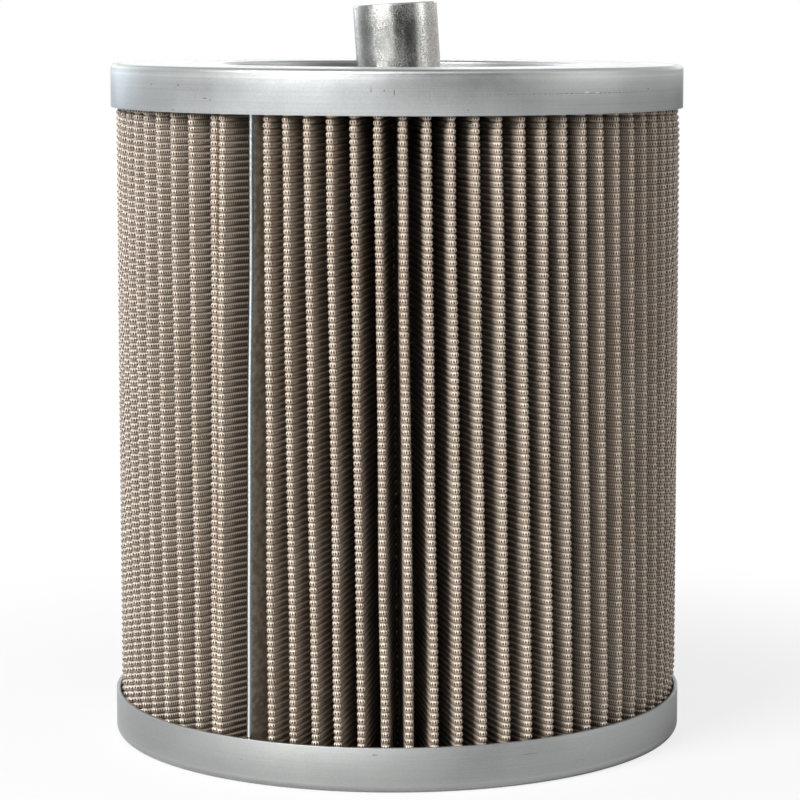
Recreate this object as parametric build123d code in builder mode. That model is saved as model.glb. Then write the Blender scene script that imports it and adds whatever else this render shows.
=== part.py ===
"""Pleated filter element: a wire-cloth suction strainer between two pressed end caps, with a guide pipe.

Millimetres, +Z up. The origin is on the element's axis, at the underside of the bottom cap.
The front is towards -Y, and turns round the pack are counted from the front, positive towards +X.
"""

import os
from math import acos, cos, degrees, exp, radians, sin, tan

from build123d import *

os.makedirs("parts", exist_ok=True)

# End caps, pressed from one thickness of zinc-coated sheet
cap_diameter = 150.0
cap_sheet = 1.0
cap_bend = 1.8
cap_bend_facets = 2
lip_bend = 0.8
lip_bend_facets = 1
element_height = 176.4
top_skirt = 11.2
bottom_skirt = 11.4
bore_diameter = 94.6
well_depth = 8.0
collar_height = 12.0

# Pleated wire cloth, in which the seam clip takes one of the places round the pack
pleat_places = 76
cloth = 1.0
fold_inside = 0.2
tip_facets = 4
root_facets = 2
tip_clearance = 0.5
root_clearance = 0.3

# Uneven spacing: the clip stands close to the pleats on its right, and two on its left are pinched.
# The shifts are in degrees, and they fade over a reach counted in pleats.
seam_turn = -30.1
crowding = 2.3
crowding_reach = 3.0
pinch = 3.0
pinch_reach = 4.0
pinch_place = 2

# Seam clip, a folded strip over the two ends of the cloth, which are crimped together in it.
# The clip's reach and the taper behind it are shares of the pleats' depth.
clip_width = 1.6
clip_sheet = 0.3
clip_bend = 0.7
clip_clearance = 0.05
clip_share = 0.38
crimp_lead = 0.5
taper_share = 0.25

# Perforated support tube inside the pleats
tube_sheet = 0.8
tube_clearance = 0.25
hole_width = 16.0
holes_around = 9
hole_rows = 4
hole_margin = 9.0

# Potting that seals the ends of the cloth in the caps
potting_depth = 4.0
potting_clearance = 0.1
potting_sides = 48

# Guide pipe, welded to the floor of the well, where it stands on its left edge and leans to the left
pipe_diameter = 22.0
pipe_wall = 2.6
pipe_reach = 15.7
pipe_lean = 3.7
pipe_offset = 0.75
pipe_lift = 0.5
weld_leg = 3.0

# Radii and levels that follow from the sizes above
cap_radius = cap_diameter / 2
bore_radius = bore_diameter / 2
collar_radius = bore_radius + cap_sheet
skirt_inside = cap_radius - cap_sheet
tube_inside = collar_radius + tube_clearance
tube_outside = tube_inside + tube_sheet
tip_radius = skirt_inside - tip_clearance
root_radius = tube_outside + root_clearance
fold_outside = fold_inside + cloth
pleat_depth = tip_radius - root_radius
clip_depth = clip_share * pleat_depth
crimp_taper = taper_share * pleat_depth
top_plate = element_height - cap_sheet
well_floor = element_height - well_depth
pack_bottom = cap_sheet + potting_depth
pack_top = top_plate - potting_depth


def bend(across, up, radius, start, sweep, facets):
    """Points of the polygon that stands for a bend in the sheet, round a centre across and up."""
    turns_done = [radians(start + sweep * step / facets) for step in range(facets + 1)]
    return [(across + radius * cos(turn), up + radius * sin(turn)) for turn in turns_done]


# Top end cap: the skirt, the flat face and the closed well that carries the guide pipe
top_edge = bend(cap_radius - cap_bend, element_height - cap_bend, cap_bend, 0, 90, cap_bend_facets)
top_lip = bend(bore_radius + lip_bend, element_height - lip_bend, lip_bend, 90, 90, lip_bend_facets)
with BuildPart() as top_end_cap:
    with BuildSketch(Plane.XZ):
        with BuildLine():
            Polyline(
                (skirt_inside, element_height - top_skirt),
                (cap_radius, element_height - top_skirt),
                *top_edge,
                *top_lip,
                (bore_radius, well_floor),
                (0, well_floor),
                (0, well_floor - cap_sheet),
                (collar_radius, well_floor - cap_sheet),
                (collar_radius, top_plate),
                (skirt_inside, top_plate),
                close=True,
            )
        make_face()
    revolve(axis=Axis.Z)
top_end_cap.part.label = "top_end_cap"
export_step(top_end_cap.part, "parts/top_end_cap.step")


# Bottom end cap: the skirt, the flat face and the collar round the outlet bore
bottom_edge = bend(cap_radius - cap_bend, cap_bend, cap_bend, 0, -90, cap_bend_facets)
bottom_lip = bend(bore_radius + lip_bend, lip_bend, lip_bend, -90, -90, lip_bend_facets)
with BuildPart() as bottom_end_cap:
    with BuildSketch(Plane.XZ):
        with BuildLine():
            Polyline(
                (skirt_inside, bottom_skirt),
                (cap_radius, bottom_skirt),
                *bottom_edge,
                *bottom_lip,
                (bore_radius, collar_height),
                (collar_radius, collar_height),
                (collar_radius, cap_sheet),
                (skirt_inside, cap_sheet),
                close=True,
            )
        make_face()
    revolve(axis=Axis.Z)
bottom_end_cap.part.label = "bottom_end_cap"
export_step(bottom_end_cap.part, "parts/bottom_end_cap.step")


# Support tube: staggered rows of holes between the two beds of potting
hole_span = pack_top - pack_bottom - 2 * hole_margin - hole_width
hole_turn = 360 / holes_around
with BuildPart() as support_tube:
    with BuildSketch(Plane.XY.offset(cap_sheet)):
        Circle(tube_outside)
        Circle(tube_inside, mode=Mode.SUBTRACT)
    extrude(amount=top_plate - cap_sheet)
    for row in range(hole_rows):
        level = pack_bottom + hole_margin + hole_width / 2 + hole_span * row / (hole_rows - 1)
        for step in range(holes_around):
            turn = hole_turn * (step + row % 2 / 2)
            outward = Vector(1, 0, 0).rotate(Axis.Z, turn)
            hole_plane = Plane(
                origin=outward * (tube_inside - tube_sheet) + Vector(0, 0, level),
                x_dir=(0, 0, 1),
                z_dir=outward,
            )
            with BuildSketch(hole_plane):
                Rectangle(hole_width, hole_width)
    extrude(amount=3 * tube_sheet, mode=Mode.SUBTRACT)
support_tube.part.label = "support_tube"
export_step(support_tube.part, "parts/support_tube.step")


def place_turn(place):
    """Turn of one place round the pack, where 0 is the clip and the pleats follow towards the right."""
    turn = seam_turn + 360 / pleat_places * place
    places_back = pleat_places - place
    if 0 < place < pleat_places:
        turn -= crowding * (1 - exp(-place / crowding_reach))
    if 0 < place and pinch_place <= places_back:
        turn += pinch * exp(-(places_back - pinch_place) / pinch_reach)
    return turn


def spot(radius, turn):
    """A point at a turn from the front, which is towards -Y."""
    return Vector(0, -radius, 0).rotate(Axis.Z, turn)


def flank(tip, tip_bend, root, root_bend, side):
    """Ends of the straight line between a tip fold and a root fold, which it leaves on opposite sides."""
    span = root - tip
    swing = degrees(acos((tip_bend + root_bend) / span.length))
    across = span.normalized().rotate(Axis.Z, -side * swing)
    return tip + across * tip_bend, root - across * root_bend


# Folds of the cloth: a tip centre at each place, and a root centre half-way to the next one
turns = [place_turn(place) for place in range(pleat_places + 1)]
root_turns = [(here + following) / 2 for here, following in zip(turns, turns[1:])]
tips = [spot(tip_radius - fold_outside, turn) for turn in turns[:-1]]
roots = [spot(root_radius + fold_outside, turn) for turn in root_turns]
crimp_half = clip_width / 2 - clip_sheet - clip_clearance
crimp_end = tip_radius - clip_sheet - clip_clearance
crimp_start = tip_radius - clip_depth - crimp_lead


def fold(centre, start, crown, finish, way, half_facets):
    """Points of the polygon that stands for a fold's arc, from its start over its crown to its finish."""
    points = []
    for begin, end in ((start, crown), (crown, finish)):
        arm = begin - centre
        sweep = way * arm.get_angle(end - centre)
        points += [centre + arm.rotate(Axis.Z, sweep * step / half_facets) for step in range(half_facets)]
    return points + [finish]


def outside_outline():
    """Outline on the dirty side: the crimped ends at the clip, then round tips and flat valleys."""
    crimp = spot(crimp_start, seam_turn)
    half_width = spot(crimp_end, seam_turn).normalized().rotate(Axis.Z, 90) * crimp_half
    end = spot(crimp_end, seam_turn)
    before = flank(crimp, crimp_half, roots[-1], fold_inside, -1)
    after = flank(crimp, crimp_half, roots[0], fold_inside, 1)
    points = [before[1], before[0], end - half_width, end + half_width, after[0], after[1]]
    for place in range(1, pleat_places):
        left = flank(tips[place], fold_outside, roots[place - 1], fold_inside, -1)
        right = flank(tips[place], fold_outside, roots[place], fold_inside, 1)
        crown = tips[place] + spot(fold_outside, turns[place])
        points += [left[1], *fold(tips[place], left[0], crown, right[0], 1, tip_facets // 2), right[1]]
    return points


def inside_outline():
    """Outline on the clean side: round roots and flat creases under the tips."""
    last = flank(spot(crimp_start - crimp_taper, seam_turn), 0, roots[0], fold_outside, 1)
    points = [last[0]]
    for place in range(1, pleat_places + 1):
        if place < pleat_places:
            left = flank(tips[place], fold_inside, roots[place - 1], fold_outside, -1)
            following = flank(tips[place], fold_inside, roots[place], fold_outside, 1)
            crease = [left[0], following[0]]
        else:
            left = flank(spot(crimp_start - crimp_taper, seam_turn), 0, roots[-1], fold_outside, -1)
            crease = []
        foot = roots[place - 1] - spot(fold_outside, root_turns[place - 1])
        points += fold(roots[place - 1], last[1], foot, left[1], -1, root_facets // 2) + crease
        last = following
    return points


# Pleated cloth, standing between the two beds of potting
with BuildPart() as pleated_mesh:
    with BuildSketch(Plane.XY.offset(pack_bottom)):
        with BuildLine():
            Polyline(*outside_outline(), close=True)
        make_face()
        with BuildLine():
            Polyline(*inside_outline(), close=True)
        make_face(mode=Mode.SUBTRACT)
    extrude(amount=pack_top - pack_bottom)
pleated_mesh.part.label = "pleated_mesh"
export_step(pleated_mesh.part, "parts/pleated_mesh.step")


# Seam clip: a channel folded over the crimped ends, open towards the axis
clip_plane = Plane(origin=(0, 0, pack_bottom), x_dir=spot(1, seam_turn), z_dir=(0, 0, 1))
with BuildPart() as seam_clip:
    with BuildSketch(clip_plane):
        with BuildLine():
            FilletPolyline(
                (tip_radius - clip_depth, -clip_width / 2),
                (tip_radius, -clip_width / 2),
                (tip_radius, clip_width / 2),
                (tip_radius - clip_depth, clip_width / 2),
                (tip_radius - clip_depth, clip_width / 2 - clip_sheet),
                (tip_radius - clip_sheet, clip_width / 2 - clip_sheet),
                (tip_radius - clip_sheet, clip_sheet - clip_width / 2),
                (tip_radius - clip_depth, clip_sheet - clip_width / 2),
                radius=[0, clip_bend, clip_bend, 0, 0, 0, 0, 0],
                close=True,
            )
        make_face()
    extrude(amount=pack_top - pack_bottom)
seam_clip.part.label = "seam_clip"
export_step(seam_clip.part, "parts/seam_clip.step")


# Potting: one ring poured into each cap, between its skirt and the support tube, drawn with many flat sides
for name, level in (("bottom_potting", cap_sheet), ("top_potting", pack_top)):
    with BuildPart() as potting:
        with BuildSketch(Plane.XY.offset(level)):
            RegularPolygon(skirt_inside - potting_clearance, potting_sides)
            RegularPolygon(
                tube_outside + potting_clearance, potting_sides, major_radius=False, mode=Mode.SUBTRACT
            )
        extrude(amount=potting_depth)
    potting.part.label = name
    export_step(potting.part, f"parts/{name}.step")


# Guide pipe: a length of steel pipe, cut square and dressed flat where it stands on the floor of the well
foot = Vector(pipe_offset, 0, well_floor)
pipe_axis = Vector(-sin(radians(pipe_lean)), 0, cos(radians(pipe_lean)))
pipe_top = (well_depth + pipe_reach) / cos(radians(pipe_lean))
with BuildPart() as guide_pipe:
    with BuildSketch(Plane(origin=foot + pipe_axis * pipe_lift, x_dir=(0, 1, 0), z_dir=pipe_axis)):
        Circle(pipe_diameter / 2)
        Circle(pipe_diameter / 2 - pipe_wall, mode=Mode.SUBTRACT)
    extrude(amount=pipe_top - pipe_lift)
    split(bisect_by=Plane.XY.offset(well_floor), keep=Keep.TOP)
guide_pipe.part.label = "guide_pipe"
export_step(guide_pipe.part, "parts/guide_pipe.step")


# Weld bead: a fillet all round the pipe, flat on the floor of the well
weld_radius = pipe_diameter / 2 + weld_leg
weld_reach = weld_leg + weld_radius * tan(radians(pipe_lean))
with BuildPart() as pipe_weld:
    with BuildSketch(Plane(origin=foot, x_dir=Vector(0, 1, 0).cross(pipe_axis), z_dir=(0, -1, 0))):
        with BuildLine():
            Polyline(
                (pipe_diameter / 2, weld_leg),
                (pipe_diameter / 2, -weld_reach),
                (pipe_diameter / 2 + weld_leg + weld_reach, -weld_reach),
                close=True,
            )
        make_face()
    revolve(axis=Axis(foot, pipe_axis))
    split(bisect_by=Plane.XY.offset(well_floor), keep=Keep.TOP)
pipe_weld.part.label = "pipe_weld"
export_step(pipe_weld.part, "parts/pipe_weld.step")
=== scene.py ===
import math

import bpy
import numpy as np
from mathutils import Matrix, Vector


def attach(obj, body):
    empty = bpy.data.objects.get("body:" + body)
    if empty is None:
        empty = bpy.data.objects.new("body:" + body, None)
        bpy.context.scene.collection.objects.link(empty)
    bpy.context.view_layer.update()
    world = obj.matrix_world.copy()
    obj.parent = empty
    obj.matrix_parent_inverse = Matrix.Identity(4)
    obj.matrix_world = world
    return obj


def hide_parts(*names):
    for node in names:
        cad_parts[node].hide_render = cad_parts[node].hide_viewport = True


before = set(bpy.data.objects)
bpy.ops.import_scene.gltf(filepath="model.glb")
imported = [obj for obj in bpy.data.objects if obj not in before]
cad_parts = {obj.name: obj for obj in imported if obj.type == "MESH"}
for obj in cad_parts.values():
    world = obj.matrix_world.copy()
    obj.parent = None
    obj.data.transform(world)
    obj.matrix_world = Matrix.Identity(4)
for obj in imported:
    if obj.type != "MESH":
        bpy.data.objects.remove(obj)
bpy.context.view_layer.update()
scene = bpy.context.scene

MM = 0.001

# Sizes of the element, in millimetres, as in the construction
CAP_R = 75.0
SHEET = 1.0
CAP_BEND = 1.8
LIP_BEND = 0.8
HEIGHT = 176.4
TOP_SKIRT = 11.2
BOTTOM_SKIRT = 11.4
BORE_R = 47.3
COLLAR_R = BORE_R + SHEET
COLLAR_TOP = 12.0
WELL_DEPTH = 8.0
WELL_FLOOR = HEIGHT - WELL_DEPTH
SKIRT_IN = CAP_R - SHEET
PACK_BOTTOM = 5.0
PACK_TOP = 171.4
TIP_R = 73.5
ROOT_R = 49.65
CLOTH = 1.0
FOLD_OUT = 1.2
FOLD_IN = 0.2
PLACES = 76
SEAM_TURN = -30.1
CROWDING = 2.3
CROWDING_REACH = 3.0
PINCH = 3.0
PINCH_REACH = 4.0
PINCH_PLACE = 2
CLIP_WIDTH = 1.6
CLIP_SHEET = 0.3
CLIP_BEND = 0.7
CLIP_CLEARANCE = 0.05
CLIP_SHARE = 0.38
CLIP_DEPTH = CLIP_SHARE * (TIP_R - ROOT_R)
CRIMP_LEAD = 0.5
CRIMP_HALF = CLIP_WIDTH / 2 - CLIP_SHEET - CLIP_CLEARANCE
CRIMP_START = TIP_R - CLIP_DEPTH - CRIMP_LEAD
PIPE_R = 11.0
PIPE_WALL = 2.6
PIPE_IN = PIPE_R - PIPE_WALL
PIPE_LEAN = math.radians(3.7)
PIPE_OFFSET = 0.75
PIPE_LIFT = 0.5
PIPE_REACH = 15.7
PIPE_TOP = (WELL_DEPTH + PIPE_REACH) / math.cos(PIPE_LEAN)
WELD_LEG = 3.0

# Bends that are tighter here than in the construction, and edges that are sharp there
TOP_BEND = 1.25
TIP_FOLD = 1.05
EDGE_ROUND = 0.15
FLOOR_BEND = 0.6
PIPE_ROUND = 0.5
PIPE_ROUND_IN = 0.4

# How much shorter the drawn crimp is than the strip is deep
CRIMP_SHORT = 0.6

# How the photo's pleats differ from straight, even ones: degrees round the pack, and millimetres
MIDDLE = 93.0
LEAN_SPAN = 92.0
TURN_ALL = 0.55
TURN_RIGHT = 0.4
LEAN_ALL = 0.8
LEAN_RIGHT = 0.7
LEAN_BACK = 2.2
LEAN_BACK_TURN = 34
LEAN_BACK_WIDTH = 7
WAVE_EASE = 12
WAVE = 0.07
RIPPLE = 0.04
BULGE = 0.6
BULGE_EASE = 4

# The weave: ribs that run round the folds, and the strands that cross them
RIB = 1.5875
GROOVE = 0.55
PROUD = 0.12
RIB_RISE = 0.12
RIB_SHARES = (0.0, RIB_RISE, 0.36, 0.64, 1 - RIB_RISE)
RIB_ROUNDING = 0.8
RIB_DRIFT = -0.13
VALLEY_REACH = 3
VALLEY_DEPTH_SHARE = 0.25
STRAND_ON_TIP = 0.66
STRAND_ON_FLANK = 0.62

# The clean side: how far its folds spread and rise at the roots, and where it starts beside the crimp
INSIDE_SHARE = 0.42
INSIDE_RISE = 0.35
CRIMP_TAPER = 6.0

# Counts of steps and sides
TIP_STEPS = 6
ROOT_STEPS = 2
RING_STEPS = 40
INSIDE_STEPS = 12
CLIP_STEPS = 22
CLOTH_PIECES = 5
CAP_SIDES = 288
PIPE_SIDES = 128

# Edges that turn by more degrees than this stay sharp
SHARP = 35

# Marks on the caps: degrees from the front, height, half width and half height in millimetres, and strength
DARK_MARKS = (
    (-0.6, 170.9, 0.14, 0.85, 0.85),
    (-2.4, 171.3, 0.22, 0.28, 0.8),
    (-4.8, 171.4, 0.25, 0.7, 0.3),
    (-38.8, 168.9, 0.75, 0.16, 0.7),
    (-37.4, 168.5, 0.3, 0.2, 0.5),
    (-45.9, 171.9, 0.5, 0.2, 0.6),
    (-54.5, 171.9, 0.4, 0.2, 0.6),
    (-32.5, 174.0, 0.3, 0.15, 0.6),
    (-47.5, 165.8, 0.5, 0.2, 0.6),
    (56.5, 171.0, 0.5, 0.2, 0.6),
    (13.0, 166.6, 0.25, 0.2, 0.5),
    (-4.3, 9.6, 0.8, 0.35, 0.6),
    (25.6, 8.0, 2.2, 0.12, 0.6),
    (-31.0, 6.0, 0.3, 0.2, 0.6),
)
SCRATCH = (34, 170.3, 30.0, 0.12)
BRIGHT_MARKS = ((38.0, 170.6, 0.9, 0.16), (40.6, 170.5, 0.7, 0.14))


# Small helpers for meshes

def new_object(name, points, faces, material, smooth=True, sharp=None):
    mesh = bpy.data.meshes.new(name)
    mesh.from_pydata([tuple(p) for p in points], [], faces)
    mesh.materials.append(material)
    mesh.polygons.foreach_set("use_smooth", [smooth] * len(mesh.polygons))
    mesh.update()
    if sharp is not None:
        mesh.set_sharp_from_angle(angle=math.radians(sharp))
    piece = bpy.data.objects.new(name, mesh)
    scene.collection.objects.link(piece)
    return piece


def ring_faces(rings, count, closed=True, inward=False):
    """Faces between rings of count points each; closed joins the last ring to the first."""
    faces = []
    for i in range(rings if closed else rings - 1):
        here = i * count
        beyond = (i + 1) % rings * count
        for k in range(count):
            pair = (k, (k + 1) % count)
            a, b = pair[::-1] if inward else pair
            faces.append((here + a, here + b, beyond + b, beyond + a))
    return faces


def add_map(piece, name, chart):
    """Gives a piece a map, from one pair of numbers for each of its points."""
    layer = piece.data.uv_layers.new(name=name)
    which = np.zeros(len(piece.data.loops), int)
    piece.data.loops.foreach_get("vertex_index", which)
    layer.data.foreach_set("uv", chart[which].ravel().astype(np.float32))


def revolved(name, profile, material):
    """A closed profile of (radius, height) in millimetres, turned round the axis."""
    turn = np.arange(CAP_SIDES) * 2 * math.pi / CAP_SIDES
    ring = np.stack([np.sin(turn), -np.cos(turn)], 1)
    points = []
    for radius, level in profile:
        # A disc's middle keeps a tiny radius, so that its points stay apart
        points.append(np.column_stack([ring * max(radius, 0.02), np.full(CAP_SIDES, level)]))
    points = np.concatenate(points) * MM
    return new_object(name, points, ring_faces(len(profile), CAP_SIDES), material, sharp=SHARP)


def arc(across, up, radius, start, finish, steps):
    """Points (across, up) of an arc, from the start to the finish angle in degrees."""
    angles = np.radians(np.linspace(start, finish, steps + 1))
    return [(across + radius * math.cos(a), up + radius * math.sin(a)) for a in angles]


# Small helpers for materials

class Nodes:
    """A node tree, with short names for the nodes that are used here."""

    def __init__(self, tree):
        self.tree = tree

    def node(self, kind, **settings):
        node = self.tree.nodes.new(kind)
        for key, value in settings.items():
            setattr(node, key, value)
        return node

    def put(self, value, socket):
        """Links an output to a socket, or gives it a number, a vector or a colour."""
        if isinstance(value, bpy.types.NodeSocket):
            self.tree.links.new(value, socket)
        elif socket.type == "RGBA":
            socket.default_value = (*value, 1)
        else:
            socket.default_value = value

    def math(self, operation, *values):
        node = self.node("ShaderNodeMath", operation=operation)
        for value, socket in zip(values, node.inputs):
            self.put(value, socket)
        return node.outputs[0]

    def plus(self, a, b):
        return self.math("ADD", a, b)

    def minus(self, a, b):
        return self.math("SUBTRACT", a, b)

    def times(self, a, b):
        return self.math("MULTIPLY", a, b)

    def over(self, a, b):
        return self.math("DIVIDE", a, b)

    def larger(self, a, b):
        return self.math("MAXIMUM", a, b)

    def off_axis(self, x, y):
        """Distance from the element's axis."""
        return self.math("SQRT", self.plus(self.times(x, x), self.times(y, y)))

    def ramp(self, value, low, high, to_low=0.0, to_high=1.0):
        """Eases from to_low to to_high while the value goes from low to high."""
        node = self.node("ShaderNodeMapRange", interpolation_type="SMOOTHSTEP")
        for item, socket in zip((value, low, high, to_low, to_high), node.inputs):
            self.put(item, socket)
        return node.outputs[0]

    def mix(self, factor, a, b):
        """Colour a where the factor is 0, and b where it is 1."""
        node = self.node("ShaderNodeMix", data_type="RGBA")
        self.put(factor, node.inputs[0])
        self.put(a, node.inputs[6])
        self.put(b, node.inputs[7])
        return node.outputs[2]

    def place(self):
        return self.node("ShaderNodeTexCoord").outputs["Object"]

    def map(self, name):
        return self.node("ShaderNodeUVMap", uv_map=name).outputs[0]

    def vector_math(self, operation, vector, numbers):
        node = self.node("ShaderNodeVectorMath", operation=operation)
        self.put(vector, node.inputs[0])
        self.put(numbers, node.inputs[1])
        return node.outputs

    def scaled(self, vector, x, y, z):
        return self.vector_math("MULTIPLY", vector, (x, y, z))[0]

    def noise(self, vector, scale, detail, roughness):
        node = self.node("ShaderNodeTexNoise")
        self.put(vector, node.inputs["Vector"])
        self.put(scale, node.inputs["Scale"])
        self.put(detail, node.inputs["Detail"])
        self.put(roughness, node.inputs["Roughness"])
        return node.outputs["Fac"]

    def split(self, vector):
        node = self.node("ShaderNodeSeparateXYZ")
        self.put(vector, node.inputs[0])
        return node.outputs

    def join(self, x, y, z):
        node = self.node("ShaderNodeCombineXYZ")
        for value, socket in zip((x, y, z), node.inputs):
            self.put(value, socket)
        return node.outputs[0]

    def bump(self, height, distance):
        node = self.node("ShaderNodeBump")
        self.put(height, node.inputs["Height"])
        self.put(distance, node.inputs["Distance"])
        return node.outputs[0]


class Material(Nodes):
    """The node tree of a new material, with its shader."""

    def __init__(self, name):
        self.material = bpy.data.materials.new(name)
        self.material.use_nodes = True
        super().__init__(self.material.node_tree)
        self.shader = self.tree.nodes["Principled BSDF"]

    def finish(self, colour, roughness, metallic, normal=None):
        self.put(colour, self.shader.inputs["Base Color"])
        self.put(roughness, self.shader.inputs["Roughness"])
        self.put(metallic, self.shader.inputs["Metallic"])
        if normal is not None:
            self.put(normal, self.shader.inputs["Normal"])
        return self.material


def lit(colour, factor):
    """A lighter or darker colour, with no part over 1."""
    return tuple(min(1, part * factor) for part in colour)


def zinc_material(name, tone):
    """Pressed zinc-coated sheet: fine grain, a dull cloud, rubbed bends with a painted highlight, the marks
    of use, and painted shade low down, along the top bend and on the well's far wall.
    """
    m = Material(name)
    place = m.place()
    x, y, z = m.split(place)
    turn = m.math("ARCTAN2", x, m.times(y, -1.0))
    round_way = m.times(turn, CAP_R)
    level = m.times(z, 1 / MM)
    radius = m.off_axis(x, y)
    outer = m.ramp(radius, 0.0715, 0.0735)
    grain = m.noise(m.join(m.times(x, 8.0), m.times(y, 8.0), z), 900.0, 3.0, 0.6)
    speck = m.noise(place, 1900.0, 2.0, 0.6)
    cloud = m.noise(place, 45.0, 3.0, 0.55)

    def mark(degrees, height, half_wide, half_high):
        across = m.over(m.minus(round_way, math.radians(degrees) * CAP_R), half_wide)
        along = m.over(m.minus(level, height), half_high)
        square = m.plus(m.times(across, across), m.times(along, along))
        return m.ramp(square, 0.3, 1.3, 1.0, 0.0)

    # A soft band at a height: rubbed wear with a painted highlight at the bends
    def rub_and_sheen(height, half_high):
        off = m.math("ABSOLUTE", m.minus(level, height))
        return m.ramp(off, 0.1, half_high, 0.35, 0.0)

    # The coat: clouds, bright and dark specks
    tint = m.mix(m.ramp(cloud, 0.35, 0.65), lit(tone, 0.92), tone)
    tint = m.mix(m.ramp(speck, 0.35, 0.70, 0.0, 0.5), tint, lit(tone, 1.15))
    tint = m.mix(m.ramp(speck, 0.66, 0.74, 0.0, 0.5), tint, (0.20, 0.19, 0.17))

    # Marks of use, on the outer skirts only
    dashes = m.noise(m.join(m.times(turn, 0.6), 0.0, 0.0), 160.0, 3.0, 0.7)
    scratch = m.times(mark(*SCRATCH), m.ramp(dashes, 0.46, 0.56))
    dark = m.times(scratch, 0.8)
    for *shape, strength in DARK_MARKS:
        dark = m.larger(dark, m.times(mark(*shape), strength))
    dark = m.times(dark, outer)
    tint = m.mix(dark, tint, (0.10, 0.085, 0.07))
    bright = m.larger(*(mark(*shape) for shape in BRIGHT_MARKS))
    tint = m.mix(m.times(bright, outer), tint, (0.85, 0.86, 0.86))

    # Fine lines from the pressing, and bands at the bends that are rubbed bright and partly a painted
    # highlight
    drawn = m.noise(m.scaled(place, 12, 12, 2400), 1.0, 3.0, 0.6)
    tint = m.mix(m.ramp(drawn, 0.35, 0.65, 0.10, 0.0), tint, (0.10, 0.10, 0.10))
    tint = m.mix(m.larger(rub_and_sheen(174.3, 0.5), rub_and_sheen(2.0, 0.6)), tint, lit(tone, 1.3))

    # Painted shade: darker low down, along the top bend and on the well's far wall
    tint = m.mix(m.ramp(level, 12.0, 150.0, 0.6, 0.0), tint, (0.24, 0.242, 0.235))
    # Painted shade along the top bend
    bend = m.times(outer, m.ramp(level, 174.9, 175.5))
    tint = m.mix(m.times(bend, 0.45), tint, (0.17, 0.175, 0.17))
    # Painted shade on the well's far wall, strongest towards its far side
    far_wall_shade = m.times(m.ramp(radius, 0.0475, 0.0482, 1.0, 0.0), m.ramp(level, 168.5, 169.0))
    dull = m.times(far_wall_shade, m.ramp(y, 0.026, 0.042, 0.0, 0.72))
    tint = m.mix(dull, tint, (0.11, 0.118, 0.115))

    rough = m.plus(m.ramp(cloud, 0.3, 0.7, 0.35, 0.43), m.ramp(grain, 0.3, 0.7, -0.03, 0.05))
    rough = m.plus(rough, m.ramp(level, 12.0, 150.0, 0.12, 0.0))
    height = m.plus(m.times(grain, 0.7), m.minus(speck, m.times(dark, 2.0)))
    return m.finish(tint, rough, 1.0, m.bump(height, 0.000022))


def cloth_material(name):
    """Woven wire: strands that bulge over each rib, with painted shade in the gaps between them, in the
    grooves, under the ribs and in the valleys.
    """
    m = Material(name)
    u, v, _ = m.split(m.map("weave"))
    rib = m.math("FLOOR", v)
    odd = m.math("FLOORED_MODULO", rib, 2.0)
    along = m.minus(v, rib)
    near = m.math("MINIMUM", along, m.minus(1.0, along))
    own = m.plus(u, m.times(odd, 0.5))
    arch = m.math("SINE", m.times(near, math.pi))

    def strand(count, half_width, height):
        off = m.minus(m.math("FRACT", count), 0.5)
        share = m.over(off, m.larger(half_width, 0.02))
        crown = m.minus(1.0, m.times(share, share))
        return m.times(m.math("SQRT", m.larger(crown, 0.0)), height)

    # Strands that lie over a rib, and the ends of the next ribs' strands that reach into it
    reach = 0.17
    mine = strand(own, m.ramp(near, 0.16, 0.5, 0.52, 0.25), m.plus(0.5, m.times(arch, 0.5)))
    tail = m.math("SQRT", m.larger(m.minus(1.0, m.over(near, reach)), 0.0))
    theirs = strand(m.plus(own, 0.5), m.times(tail, 0.30), 0.75)
    body = m.larger(mine, theirs)

    # Wire with a brown film, and painted shade on both sides of the element, off the tips on the right and
    # in the valleys
    place = m.place()
    x, y, _ = m.split(place)
    radius = m.off_axis(x, y)
    dark = (0.022, 0.015, 0.010)
    shadow = (0.075, 0.054, 0.038)
    stain = m.noise(place, 60.0, 3.0, 0.6)
    wire = m.mix(m.ramp(stain, 0.3, 0.7), (0.61, 0.50, 0.40), (0.70, 0.59, 0.485))
    # Painted shade towards the right of the element, and a greyer painted shade towards its left
    wire = m.mix(m.ramp(x, 0.03, 0.07, 0.0, 0.22), wire, (0.34, 0.29, 0.24))
    wire = m.mix(m.ramp(x, -0.068, -0.035, 0.28, 0.0), wire, (0.34, 0.315, 0.295))
    shade = m.times(m.ramp(radius, 0.0675, 0.0724, 0.7, 0.0), m.ramp(x, 0.02, 0.045))
    wire = m.mix(shade, wire, shadow)
    # Painted shade deep in the valleys
    wire = m.mix(m.ramp(radius, 0.059, 0.0705, 0.60, 0.0), wire, shadow)

    # Painted shade in the gaps between the strands, in the grooves between the ribs, and on the underside
    # of each rib off the tips
    colour = m.mix(m.ramp(body, 0.16, 0.68), dark, wire)
    colour = m.mix(m.ramp(near, 0.0, 0.25, 0.62, 0.0), colour, dark)
    # Painted shade on the underside of each rib, away from the tips
    rib_underside_shade = m.times(m.ramp(along, 0.44, 0.76, 0.80, 0.0), m.ramp(radius, 0.0680, 0.0716, 1.0, 0.0))
    colour = m.mix(rib_underside_shade, colour, dark)
    rough = m.ramp(body, 0.2, 0.9, 0.5, 0.28)
    return m.finish(colour, rough, 0.40, m.bump(body, 0.00022))


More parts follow.
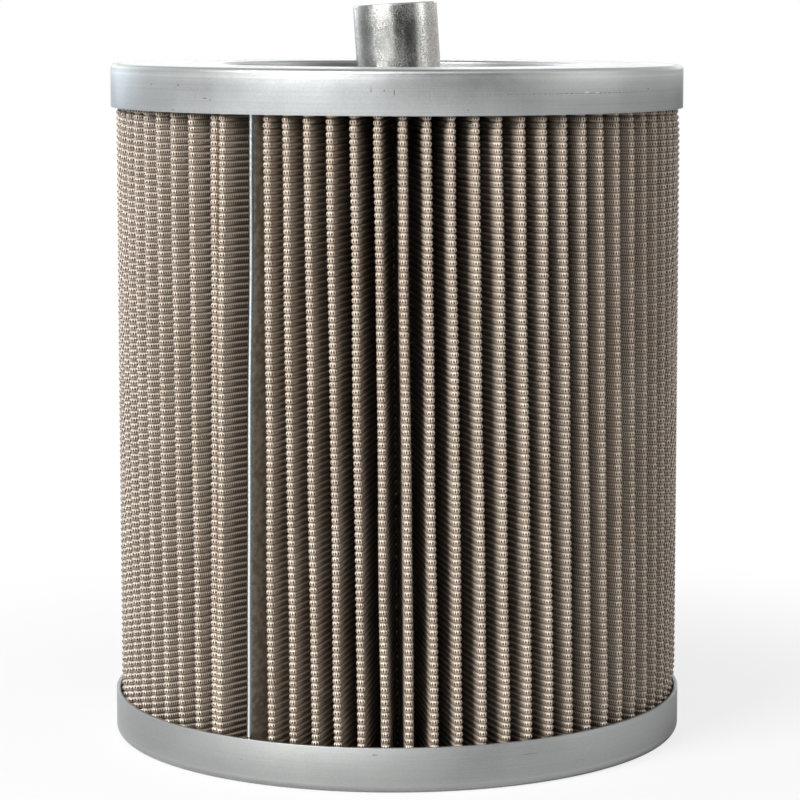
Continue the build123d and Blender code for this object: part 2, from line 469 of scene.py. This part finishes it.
def pipe_material(name):
    """Thick zinc coat with an orange-peel skin and dark pits, and painted reflections: dark bands down the
    pipe and a tan band along its right edge.
    """
    m = Material(name)
    place = m.place()
    peel = m.noise(place, 1500.0, 3.0, 0.6)
    pits = m.noise(place, 3300.0, 2.0, 0.6)
    cloud = m.noise(m.scaled(place, 1, 1, 0.5), 260.0, 3.0, 0.65)
    hole = m.times(m.ramp(pits, 0.46, 0.62), m.ramp(cloud, 0.40, 0.55, 0.45, 1.0))

    # Share of the pipe's radius to the right of its leaning axis, made uneven by the cloud
    x, _, z = m.split(place)
    lean = m.times(m.minus(z, WELL_FLOOR * MM), math.tan(PIPE_LEAN))
    share = m.over(m.plus(m.minus(x, PIPE_OFFSET * MM), lean), PIPE_R * MM)
    share = m.plus(share, m.times(m.minus(cloud, 0.5), 0.15))
    blur = 0.06

    def reflected_band(low, high):
        rise = m.ramp(share, low - blur, low + blur)
        return m.times(rise, m.ramp(share, high - blur, high + blur, 1.0, 0.0))

    tint = m.mix(m.ramp(cloud, 0.42, 0.62), (0.44, 0.445, 0.425), (0.54, 0.53, 0.50))
    # Painted reflections: a dark bluish band left of the axis, a dark band down the middle and a tan band
    # along the right edge
    tint = m.mix(m.times(reflected_band(-0.80, -0.56), 0.55), tint, (0.15, 0.18, 0.19))
    tint = m.mix(m.times(reflected_band(-0.06, 0.47), 0.60), tint, (0.13, 0.135, 0.12))
    tint = m.mix(m.times(reflected_band(0.71, 1.5), 0.30), tint, (0.30, 0.24, 0.20))
    tint = m.mix(m.times(hole, 0.6), tint, (0.13, 0.125, 0.115))
    rough = m.plus(m.ramp(cloud, 0.3, 0.7, 0.18, 0.26), m.times(hole, 0.2))
    height = m.minus(peel, m.times(hole, 0.6))
    return m.finish(tint, rough, 1.0, m.bump(height, 0.000035))


def clip_material(name):
    """Folded strip with a painted reflection across it, dark bluish along the left bend, bright on the
    crown and bluish along the right bend, and dull on its sides.
    """
    m = Material(name)
    across, _, _ = m.split(m.map("across"))
    place = m.place()
    fine = m.noise(place, 1500.0, 3.0, 0.6)
    cloud = m.noise(m.scaled(place, 1, 1, 1.6), 420.0, 2.0, 0.5)
    # Painted reflection: dark bluish along the left bend, bright on the crown, bluish along the right bend
    tint = m.mix(m.ramp(across, -0.32, -0.08, 1.0, 0.0), (0.80, 0.79, 0.74), (0.06, 0.095, 0.12))
    tint = m.mix(m.ramp(across, 0.30, 0.52), tint, (0.15, 0.215, 0.25))
    dull = m.mix(m.ramp(cloud, 0.35, 0.65), (0.27, 0.235, 0.19), (0.45, 0.395, 0.325))
    side = m.ramp(m.math("ABSOLUTE", across), 0.90, 0.99)
    tint = m.mix(side, tint, dull)
    rough = m.plus(m.ramp(fine, 0.3, 0.7, 0.22, 0.32), m.times(side, 0.25))
    metallic = m.minus(1.0, m.times(side, 0.4))
    return m.finish(tint, rough, metallic, m.bump(fine, 0.00004))


def plain_metal(name, colour, rough, grain_scale, grain, metallic=1.0):
    m = Material(name)
    place = m.place()
    fine = m.noise(place, grain_scale, 3.0, 0.6)
    cloud = m.noise(place, grain_scale / 12, 2.0, 0.5)
    tint = m.mix(m.ramp(cloud, 0.3, 0.7), lit(colour, 0.85), colour)
    rough = m.ramp(fine, 0.3, 0.7, rough - 0.06, rough + 0.08)
    return m.finish(tint, rough, metallic, m.bump(fine, grain))


zinc = zinc_material("zinc_sheet_look", (0.50, 0.515, 0.515))
cloth_look = cloth_material("wire_cloth_look")
cloth_back = plain_metal("wire_cloth_back_look", (0.42, 0.37, 0.32), 0.45, 2500.0, 0.0001)
clip_look = clip_material("clip_look")
tube_look = plain_metal("tube_look", (0.50, 0.51, 0.52), 0.40, 900.0, 0.00001)
pipe_look = pipe_material("pipe_look")
weld_look = plain_metal("weld_look", (0.36, 0.35, 0.33), 0.50, 1200.0, 0.00006)
resin_look = plain_metal("resin_look", (0.10, 0.09, 0.08), 0.45, 200.0, 0.00003, 0.0)


# Pleated cloth: the outline of the folds at each level, with the ribs pressed into its outer side

def place_turns():
    """Turn of each place round the pack, in degrees from the front, and of the one after the last."""
    turns = []
    for place in range(PLACES + 1):
        turn = SEAM_TURN + 360 / PLACES * place
        back = PLACES - place
        if 0 < place < PLACES:
            turn -= CROWDING * (1 - math.exp(-place / CROWDING_REACH))
        if place > 0 and back >= PINCH_PLACE:
            turn += PINCH * math.exp(-(back - PINCH_PLACE) / PINCH_REACH)
        turns.append(turn)
    return np.array(turns)


def wander(turns, level):
    """How far the pleats lean round the pack, and their small waves, in degrees at a level."""
    rise = (MIDDLE - level) / LEAN_SPAN
    centred = (turns + 180) % 360 - 180
    ahead_right = np.clip(centred, 0, 90)
    right = np.sin(np.radians(ahead_right))
    lean = LEAN_ALL + LEAN_RIGHT * np.sin(np.radians(2 * ahead_right))
    lean = lean - LEAN_BACK * np.exp(-(((centred + LEAN_BACK_TURN) / LEAN_BACK_WIDTH) ** 2))
    order = np.arange(len(turns))
    wave = WAVE * np.sin(level / 17.0 + order * 2.4) + RIPPLE * np.sin(level / 9.0 + order * 5.1)
    ease = np.clip(np.minimum(level - PACK_BOTTOM, PACK_TOP - level) / WAVE_EASE, 0, 1)
    return TURN_ALL + TURN_RIGHT * right + lean * rise + wave * ease


def turns_at(level):
    """Turn of each place at a level, closed after the last one, and of the middles between them."""
    turns = place_turns()
    turns = turns + wander(turns, level)
    turns[-1] = turns[0] + 360
    return turns, (turns[:-1] + turns[1:]) / 2


def polar(radius, turns):
    """Points at a radius, at turns in degrees from the front."""
    angles = np.radians(turns)
    way = np.stack([np.sin(angles), -np.cos(angles)], -1)
    return way * radius


def rotated(vectors, degrees):
    angle = np.radians(degrees)
    cosine, sine = np.cos(angle), np.sin(angle)
    x, y = vectors[..., 0], vectors[..., 1]
    return np.stack([x * cosine - y * sine, x * sine + y * cosine], -1)


def flank(tip, tip_bend, root, root_bend, side):
    """Ends of the straight line from a tip fold to a root fold, and its outward normal."""
    span = root - tip
    length = np.linalg.norm(span, axis=-1, keepdims=True)
    swing = np.degrees(np.arccos((tip_bend + root_bend) / length[..., 0]))
    across = rotated(span / length, -side * swing)
    return tip + across * tip_bend, root - across * root_bend, across


def swept(start, finish, steps, way):
    """Directions on an arc from one unit vector to another, turning counter-clockwise for way 1."""
    angle = np.arctan2(start[0] * finish[1] - start[1] * finish[0], start @ finish)
    if way > 0 and angle < 0:
        angle += 2 * math.pi
    if way < 0 and angle > 0:
        angle -= 2 * math.pi
    return [rotated(start, math.degrees(angle) * k / steps) for k in range(steps + 1)]


def outer_ring(level):
    """Points, outward normals and places of the dirty side, from the clip round to the clip."""
    turns, middle = turns_at(level)
    bulge = BULGE * np.clip(np.sin(np.radians(turns[:-1])), 0, 1) ** 2
    to_skirt = min(level - BOTTOM_SKIRT, HEIGHT - TOP_SKIRT - level)
    bulge = bulge * np.clip(to_skirt / BULGE_EASE, 0, 1)
    tips = polar(TIP_R - TIP_FOLD + bulge[:, None], turns[:-1])
    roots = polar(ROOT_R + FOLD_OUT, middle)
    seam = polar(1.0, turns[0])
    crimp = seam * CRIMP_START
    crimp_end = seam * (CLIP_DEPTH - CRIMP_SHORT)
    points, normals, places = [], [], []

    def add(point, normal, place):
        points.append(point)
        normals.append(normal)
        places.append(place)

    first = flank(crimp, CRIMP_HALF, roots[0], FOLD_IN, 1)
    add(first[0] + crimp_end, first[2], 0.5)
    add(first[0], first[2], 0.5)
    for place in range(1, PLACES + 1):
        root = roots[place - 1]
        if place == 1:
            before = first
        else:
            before = flank(tips[place - 1], TIP_FOLD, root, FOLD_IN, 1)
        if place < PLACES:
            after = flank(tips[place], TIP_FOLD, root, FOLD_IN, -1)
        else:
            after = flank(crimp, CRIMP_HALF, root, FOLD_IN, -1)
        for way in swept(-before[2], -after[2], ROOT_STEPS, -1):
            add(root + way * FOLD_IN, -way, place - 0.5)
        if place < PLACES:
            following = flank(tips[place], TIP_FOLD, roots[place], FOLD_IN, 1)
            for way in swept(after[2], following[2], TIP_STEPS, 1):
                add(tips[place] + way * TIP_FOLD, way, place)
        else:
            add(after[0], after[2], PLACES - 0.5)
            add(after[0] + crimp_end, after[2], PLACES - 0.5)
    return np.array(points), np.array(normals), np.array(places)


def rib_depth(share):
    """Depth of the outer side, where share runs from one groove to the next."""
    return GROOVE * (1 - np.abs(np.sin(math.pi * share)) ** RIB_ROUNDING) - PROUD


def between(rings, row, share, columns):
    """Chosen columns of the rings, blended from one ring to the next."""
    return rings[row, columns] * (1 - share) + rings[row + 1, columns] * share


def pleats():
    """The outer side in five pieces, each with its strand and rib counts as a map."""
    middle_points, _, places = outer_ring(MIDDLE)
    gaps = np.linalg.norm(np.diff(middle_points, axis=0), axis=1)
    on_tip = np.isclose(places, np.round(places))
    spacing = np.where(on_tip[:-1] & on_tip[1:], STRAND_ON_TIP, STRAND_ON_FLANK)
    strands = np.concatenate([[0], np.cumsum(gaps / spacing)])
    deep = np.linalg.norm(middle_points, axis=1) < ROOT_R + VALLEY_REACH
    dip = np.where(np.isclose(places % 1, 0.5) & deep, VALLEY_DEPTH_SHARE, 1.0)

    # Levels of the ribs' points, which drift down from place to place
    drift = RIB_DRIFT * places
    low = math.floor((PACK_BOTTOM - drift.max()) / RIB) - 1
    high = math.ceil((PACK_TOP - drift.min()) / RIB) + 1
    marks = np.array([rib + share for rib in range(low, high) for share in RIB_SHARES])

    rings = [outer_ring(level) for level in np.linspace(PACK_BOTTOM, PACK_TOP, RING_STEPS + 1)]
    ring_points = np.stack([ring[0] for ring in rings])
    ring_normals = np.stack([ring[1] for ring in rings])
    bounds = [0]
    for share in range(1, CLOTH_PIECES):
        bounds.append(int(np.argmin(np.abs(places - PLACES * share / CLOTH_PIECES))))
    bounds.append(len(places) - 1)
    pieces = []
    for index in range(CLOTH_PIECES):
        picked = np.arange(bounds[index], bounds[index + 1] + 1)
        count = len(picked)
        level = np.clip(marks[:, None] * RIB + drift[picked][None, :], PACK_BOTTOM, PACK_TOP)
        where = (level - PACK_BOTTOM) / (PACK_TOP - PACK_BOTTOM) * RING_STEPS
        base = np.clip(np.floor(where).astype(int), 0, RING_STEPS - 1)
        share = (where - base)[..., None]
        point = between(ring_points, base, share, picked)
        normal = between(ring_normals, base, share, picked)
        count_of_ribs = (level - drift[picked]) / RIB
        point = point - normal * (rib_depth(count_of_ribs) * dip[picked])[..., None]
        vertices = np.concatenate([point, level[..., None]], -1).reshape(-1, 3) * MM
        rows, cols = np.meshgrid(np.arange(len(marks) - 1), np.arange(count - 1), indexing="ij")
        tall = (np.diff(level, axis=0)[:, :-1] + np.diff(level, axis=0)[:, 1:]) > 1e-6
        corner = (rows * count + cols)[tall]
        faces = np.stack([corner, corner + 1, corner + count + 1, corner + count], 1)
        piece = new_object(f"cloth_{index + 1}", vertices, faces.tolist(), cloth_look)
        chart = np.stack([np.broadcast_to(strands[picked], level.shape), count_of_ribs], -1)
        add_map(piece, "weave", chart.reshape(-1, 2))
        pieces.append(piece)
    return pieces


def inner_side():
    """The clean side, which shows only through the support tube."""
    rings = []
    for level in np.linspace(PACK_BOTTOM, PACK_TOP, INSIDE_STEPS + 1):
        turns, middle = turns_at(level)
        ring = []
        for place in range(PLACES):
            here = TIP_R - CLOTH if place else CRIMP_START - CRIMP_TAPER
            ring.append(polar(here, turns[place]))
            step = (turns[place + 1] - turns[place]) / 2
            for share in (-INSIDE_SHARE, 0.0, INSIDE_SHARE):
                radius = ROOT_R + INSIDE_RISE * abs(share)
                ring.append(polar(radius, middle[place] + step * share))
        rings.append(np.column_stack([np.array(ring), np.full(len(ring), level)]))
    points = np.concatenate(rings) * MM
    faces = ring_faces(len(rings), len(rings[0]), closed=False, inward=True)
    return new_object("cloth_inside", points, faces, cloth_back)


cloth = pleats()
cloth.append(inner_side())
for piece in cloth:
    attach(piece, "root")
    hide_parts("pleated_mesh")


# Seam clip, leaning with the cloth that it holds

def clip_strip():
    """One section of (distance from the axis, sideways), set at each level with its own turn."""
    half = CLIP_WIDTH / 2
    low = TIP_R - CLIP_DEPTH
    inner = half - CLIP_SHEET
    bend = TIP_R - CLIP_BEND
    back = TIP_R - CLIP_SHEET
    section = [(low, -half)]
    section += arc(bend, -half + CLIP_BEND, CLIP_BEND, -90, 0, 6)
    section += arc(bend, half - CLIP_BEND, CLIP_BEND, 0, 90, 6)
    section += [(low, half), (low, inner), (back, inner), (back, -inner), (low, -inner)]
    points = []
    for level in np.linspace(PACK_BOTTOM, PACK_TOP, CLIP_STEPS + 1):
        turn = SEAM_TURN + wander(place_turns(), level)[0]
        outward = polar(1.0, turn)
        sideways = polar(1.0, turn + 90)
        for depth, across in section:
            flat = outward * depth + sideways * across
            points.append((flat[0] * MM, flat[1] * MM, level * MM))
    faces = ring_faces(CLIP_STEPS + 1, len(section), closed=False)
    piece = new_object("clip_strip", points, faces, clip_look, sharp=30)
    share = np.tile([across / half for _, across in section], CLIP_STEPS + 1)
    add_map(piece, "across", np.stack([share, np.zeros(len(share))], -1))
    return piece


strip = clip_strip()
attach(strip, "root")
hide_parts("seam_clip")


# End caps, with their bends round

def top_cap():
    edge = HEIGHT - TOP_SKIRT + EDGE_ROUND
    profile = arc(SKIRT_IN + EDGE_ROUND, edge, EDGE_ROUND, 180, 270, 2)
    profile += arc(CAP_R - EDGE_ROUND, edge, EDGE_ROUND, 270, 360, 2)
    profile += arc(CAP_R - TOP_BEND, HEIGHT - TOP_BEND, TOP_BEND, 0, 90, 9)
    profile += arc(BORE_R + LIP_BEND, HEIGHT - LIP_BEND, LIP_BEND, 90, 180, 6)
    profile += arc(BORE_R - FLOOR_BEND, WELL_FLOOR + FLOOR_BEND, FLOOR_BEND, 0, -90, 4)
    profile += [(30.0, WELL_FLOOR), (0.0, WELL_FLOOR), (0.0, WELL_FLOOR - SHEET)]
    profile += [(COLLAR_R, WELL_FLOOR - SHEET), (COLLAR_R, HEIGHT - SHEET), (SKIRT_IN, HEIGHT - SHEET)]
    return revolved("cap_top", profile, zinc)


def bottom_cap():
    edge = BOTTOM_SKIRT - EDGE_ROUND
    profile = arc(SKIRT_IN + EDGE_ROUND, edge, EDGE_ROUND, 180, 90, 2)
    profile += arc(CAP_R - EDGE_ROUND, edge, EDGE_ROUND, 90, 0, 2)
    profile += arc(CAP_R - CAP_BEND, CAP_BEND, CAP_BEND, 0, -90, 9)
    profile += arc(BORE_R + LIP_BEND, LIP_BEND, LIP_BEND, -90, -180, 6)
    profile += [(BORE_R, COLLAR_TOP), (COLLAR_R, COLLAR_TOP), (COLLAR_R, SHEET), (SKIRT_IN, SHEET)]
    return revolved("cap_bottom", profile[::-1], zinc)


for piece, node in ((top_cap(), "top_end_cap"), (bottom_cap(), "bottom_end_cap")):
    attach(piece, "root")
    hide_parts(node)


# Guide pipe and its weld, leaning to the left

def along_pipe(name, profile, material):
    """A profile of (radius, distance along the pipe's axis), turned round the leaning axis."""
    axis = Vector((-math.sin(PIPE_LEAN), 0, math.cos(PIPE_LEAN)))
    side = Vector((math.cos(PIPE_LEAN), 0, math.sin(PIPE_LEAN)))
    other = Vector((0, 1, 0))
    foot = Vector((PIPE_OFFSET, 0, WELL_FLOOR))
    points = []
    for radius, reach in profile:
        for k in range(PIPE_SIDES):
            turn = 2 * math.pi * k / PIPE_SIDES
            spot = foot + axis * reach + (side * math.cos(turn) + other * math.sin(turn)) * radius
            # The well's floor cuts off what would lie under it
            spot.z = max(spot.z, WELL_FLOOR)
            points.append(spot * MM)
    return new_object(name, points, ring_faces(len(profile), PIPE_SIDES), material, sharp=SHARP)


pipe_profile = [(PIPE_IN, PIPE_LIFT), (PIPE_R, PIPE_LIFT)]
pipe_profile += [(PIPE_R, reach) for reach in (6.0, 12.0, 18.0)]
pipe_profile += arc(PIPE_R - PIPE_ROUND, PIPE_TOP - PIPE_ROUND, PIPE_ROUND, 0, 90, 4)
pipe_profile += arc(PIPE_IN + PIPE_ROUND_IN, PIPE_TOP - PIPE_ROUND_IN, PIPE_ROUND_IN, 90, 180, 3)
pipe = along_pipe("pipe", pipe_profile, pipe_look)
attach(pipe, "root")
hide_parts("guide_pipe")

weld_profile = [(PIPE_R, -0.8), (PIPE_R + WELD_LEG, -0.8), (PIPE_R + WELD_LEG, 0.1)]
weld_profile += [(PIPE_R + 2.2, 1.1), (PIPE_R + 1.2, 2.0), (PIPE_R + 0.1, WELD_LEG)]
bead = along_pipe("weld_bead", weld_profile, weld_look)
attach(bead, "root")
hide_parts("pipe_weld")


# What stays as constructed takes its finish here

for node, look in (
    ("support_tube", tube_look),
    ("top_potting", resin_look),
    ("bottom_potting", resin_look),
):
    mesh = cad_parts[node].data
    mesh.materials.clear()
    mesh.materials.append(look)


# Floor, light and camera

def floor_material():
    """A plain floor that whitens for the camera away from the element."""
    m = Material("floor_look")
    m.finish((0.70, 0.70, 0.70), 0.9, 0.0)
    x, y, _ = m.split(m.place())
    camera_ray = m.node("ShaderNodeLightPath").outputs["Is Camera Ray"]
    glow = m.node("ShaderNodeEmission")
    m.put((1, 1, 1), glow.inputs["Color"])
    m.put(1.0, glow.inputs["Strength"])
    blend = m.node("ShaderNodeMixShader")
    m.put(m.times(camera_ray, m.ramp(m.off_axis(x, y), 0.09, 0.26, 0.80, 1.0)), blend.inputs[0])
    m.put(m.shader.outputs[0], blend.inputs[1])
    m.put(glow.outputs[0], blend.inputs[2])
    m.put(blend.outputs[0], m.tree.nodes["Material Output"].inputs["Surface"])
    return m.material


FLOOR_HALF = 8.0
corners = [(FLOOR_HALF * x, FLOOR_HALF * y, 0) for x, y in ((-1, -1), (1, -1), (1, 1), (-1, 1))]
floor = new_object("floor", corners, [(0, 1, 2, 3)], floor_material(), False)


LAMP_TARGET = Vector((0, 0, 0.09))


def softbox(name, turn, rise, distance, width, height, power, tint=(1, 1, 1)):
    """A lamp that faces the element, from degrees round from the front and degrees up."""
    light = bpy.data.lights.new(name, "AREA")
    light.shape = "RECTANGLE"
    light.size = width
    light.size_y = height
    light.energy = power
    light.color = tint
    lamp = bpy.data.objects.new(name, light)
    a, e = math.radians(turn), math.radians(rise)
    where = Vector((math.sin(a) * math.cos(e), -math.cos(a) * math.cos(e), math.sin(e)))
    lamp.location = LAMP_TARGET + where * distance
    lamp.rotation_euler = where.to_track_quat("Z", "Y").to_euler()
    scene.collection.objects.link(lamp)


softbox("key_left", -40, 34, 1.2, 0.6, 0.5, 22)
softbox("rim_left", -138, 12, 1.2, 0.5, 0.8, 2, (0.78, 0.89, 1.0))
softbox("fill_right", 78, 22, 1.3, 0.4, 0.7, 2)
softbox("front", 8, 38, 1.2, 0.9, 0.5, 2)
softbox("back", 180, 15, 1.6, 2.6, 0.12, 4.2)

# White for the camera; what metal mirrors is dimmer overhead and to the right of the front
MIRRORED_DIM = 0.12
PLAIN_LEVEL = 0.06
world = bpy.data.worlds.new("studio")
world.use_nodes = True
scene.world = world
sky = Nodes(world.node_tree)
rays = sky.node("ShaderNodeLightPath").outputs
direction = sky.node("ShaderNodeTexCoord").outputs["Generated"]


def dimmed(way, low, high):
    """1 away from a direction, and the dimmed strength towards it."""
    toward = sky.vector_math("DOT_PRODUCT", direction, way)["Value"]
    return sky.ramp(toward, low, high, 1.0, MIRRORED_DIM)


overhead = dimmed((0, 0, 1), 0.90, 0.98)
front = dimmed((0.42, -0.905, 0.05), 0.77, 0.96)
mirrored = sky.times(sky.times(overhead, front), rays["Is Glossy Ray"])
plain = sky.larger(rays["Is Camera Ray"], rays["Is Transmission Ray"])
backdrop = sky.tree.nodes["Background"]
sky.put((1, 1, 1), backdrop.inputs["Color"])
sky.put(sky.larger(sky.larger(plain, mirrored), PLAIN_LEVEL), backdrop.inputs["Strength"])

# The camera, fitted to the photo: lengths in pixels, angles in radians and its place in metres
PICTURE = 800
FOCAL = 2970.14
CENTRE_X = 480.8
CENTRE_Y = 330
SENSOR = 36
CAMERA_PLACE = (0, -0.78414, 0.19085)
yaw, pitch, roll = -0.02812, 0.10788, 0.00277
right = Vector((math.cos(yaw), math.sin(yaw), 0))
ahead = Vector((-math.sin(yaw), math.cos(yaw), 0))
up = Vector((0, 0, 1))
pitched_ahead = ahead * math.cos(pitch) - up * math.sin(pitch)
pitched_up = up * math.cos(pitch) + ahead * math.sin(pitch)
rolled_right = right * math.cos(roll) + pitched_up * math.sin(roll)
rolled_up = pitched_up * math.cos(roll) - right * math.sin(roll)
lens = bpy.data.cameras.new("camera")
lens.sensor_fit = "HORIZONTAL"
lens.sensor_width = SENSOR
lens.lens = FOCAL / PICTURE * SENSOR
lens.shift_x = 0.5 - CENTRE_X / PICTURE
lens.shift_y = CENTRE_Y / PICTURE - 0.5
lens.clip_start = 0.01
camera = bpy.data.objects.new("camera", lens)
turned = Matrix((rolled_right, rolled_up, -pitched_ahead)).transposed()
camera.matrix_world = Matrix.Translation(CAMERA_PLACE) @ turned.to_4x4()
scene.collection.objects.link(camera)
scene.camera = camera
scene.view_settings.view_transform = "Standard"

bpy.context.view_layer.update()
